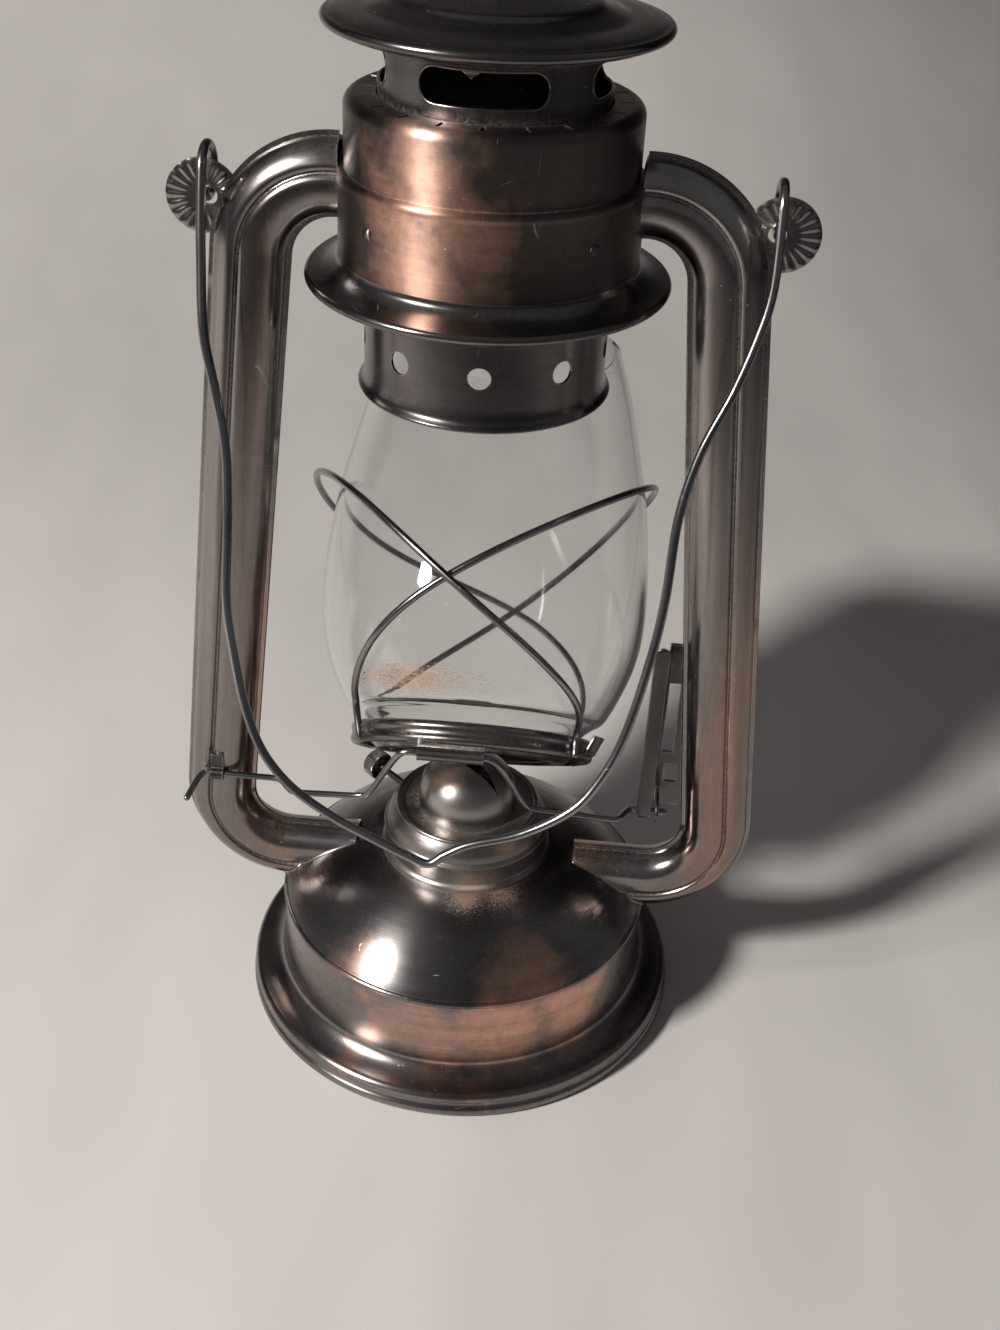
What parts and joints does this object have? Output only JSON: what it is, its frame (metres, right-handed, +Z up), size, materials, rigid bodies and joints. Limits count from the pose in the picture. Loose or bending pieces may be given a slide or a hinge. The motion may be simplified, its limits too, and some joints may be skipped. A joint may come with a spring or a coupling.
{
  "type": "hurricane lantern",
  "caption": "Tubular oil lantern with a flared fount, flat-wick burner, tipping glass globe with wire guards, lift lever, raised hood and swinging wire bail.",
  "frame": {"origin": "middle of the rolled foot, on the surface the lantern stands on", "axes": "+Z up, right-hand side tube with the lift lever along +X, front along -Y"},
  "size_m": [0.1848, 0.1964, 0.3256],
  "materials": {
    "tank_metal": "antique copper over tinplate, polished dark",
    "tube_metal": "aged pewter-coloured tinplate with rose tint",
    "chamber_metal": "brushed antique bronze",
    "burner_metal": "sooty copper-brown",
    "cone_metal": "heat-tinted copper",
    "wire_metal": "dark drawn wire",
    "lever_metal": "worn stamped steel",
    "plate_metal": "dull brown brass",
    "clear_glass": "blown clear glass, dusty",
    "wick_cloth": "woven cotton",
    "gasket_rubber": "matt"
  },
  "bodies": {
    "lantern_frame": {"fount_skirt": "tank_metal", "fount_dome": "tank_metal", "fount_bottom": "tank_metal", "filler_neck": "tank_metal", "burner_body": "burner_metal", "burner_collar": "burner_metal", "burner_cone": "cone_metal", "wick_tube": "burner_metal", "tube_left_front": "tube_metal", "tube_left_back": "tube_metal", "tube_right_front": "tube_metal", "tube_right_back": "tube_metal", "ear_left": "chamber_metal", "ear_right": "chamber_metal", "chamber_lower": "chamber_metal", "chamber_upper": "chamber_metal", "chamber_brim": "chamber_metal", "chamber_rivets": "chamber_metal", "lever_bracket": "lever_metal", "wire_clip": "lever_metal"},
    "bail": {"bail": "wire_metal"},
    "chimney": {"chimney_neck": "chamber_metal", "globe_collar": "chamber_metal", "hood_liner": "chamber_metal", "chimney_hood": "chamber_metal", "hood_staple": "wire_metal"},
    "hood_ring": {"hood_ring": "wire_metal"},
    "lift_crank": {"lift_wire": "wire_metal", "lift_lever": "lever_metal"},
    "globe_assembly": {"globe": "clear_glass", "globe_plate": "plate_metal", "plate_gallery": "plate_metal", "plate_barrel": "plate_metal", "thumb_tab": "plate_metal", "guard_wire_left": "wire_metal", "guard_wire_right": "wire_metal"},
    "wick_drive": {"wick_spindle": "wire_metal", "wick_wheels": "burner_metal", "wick_knob": "cone_metal"},
    "wick": {"wick": "wick_cloth"},
    "filler_gasket": {"filler_gasket": "gasket_rubber"},
    "filler_cap": {"filler_cap": "tank_metal"}
  },
  "joints": [
    {"name": "bail_swing", "type": "hinge", "parent": "lantern_frame", "child": "bail", "pos_m": [0, 0, 0.2708], "axis": [-1, 0, 0], "range_deg": [0, 255]},
    {"name": "lift_turn", "type": "hinge", "parent": "lantern_frame", "child": "lift_crank", "pos_m": [0, -0.0096, 0.0802], "axis": [1, 0, 0], "range_deg": [0, 77.1]},
    {"name": "globe_tip", "type": "hinge", "parent": "lift_crank", "child": "globe_assembly", "pos_m": [0, -0.0232, 0.1052], "axis": [1, 0, 0], "range_deg": [-37.2, 0]},
    {"name": "chimney_lift", "type": "slide", "parent": "lantern_frame", "child": "chimney", "axis": [0, 0, 1], "range_m": [0, 0.0216]},
    {"name": "hood_ring_flip", "type": "hinge", "parent": "chimney", "child": "hood_ring", "pos_m": [0, 0, 0.3223], "axis": [1, 0, 0], "range_deg": [0, 170]},
    {"name": "wick_turn", "type": "hinge", "parent": "lantern_frame", "child": "wick_drive", "pos_m": [-0.00375, -0.00402, 0.0645], "axis": [-0.7314, 0.682, 0], "range_deg": [-61.4, 271.5]},
    {"name": "wick_feed", "type": "slide", "parent": "lantern_frame", "child": "wick", "axis": [0, 0, 1], "range_m": [-0.0199, 0.0045]},
    {"name": "cap_rise", "type": "slide", "parent": "lantern_frame", "child": "filler_gasket", "axis": [0, 0, 1], "range_m": [0, 0.0041]},
    {"name": "cap_turn", "type": "hinge", "parent": "filler_gasket", "child": "filler_cap", "pos_m": [-0.0043, 0.0492, 0.055], "axis": [0, 0, 1], "range_deg": [0, 720]}
  ],
  "couplings": [
    {"joint": "globe_tip", "follows": "lift_turn", "ratio": -0.48119},
    {"joint": "chimney_lift", "follows": "lift_turn", "m_per_rad": 0.016},
    {"joint": "wick_turn", "follows": "wick_feed", "rad_per_m": -238.09},
    {"joint": "cap_rise", "follows": "cap_turn", "m_per_rad": 0.0003183}
  ]
}
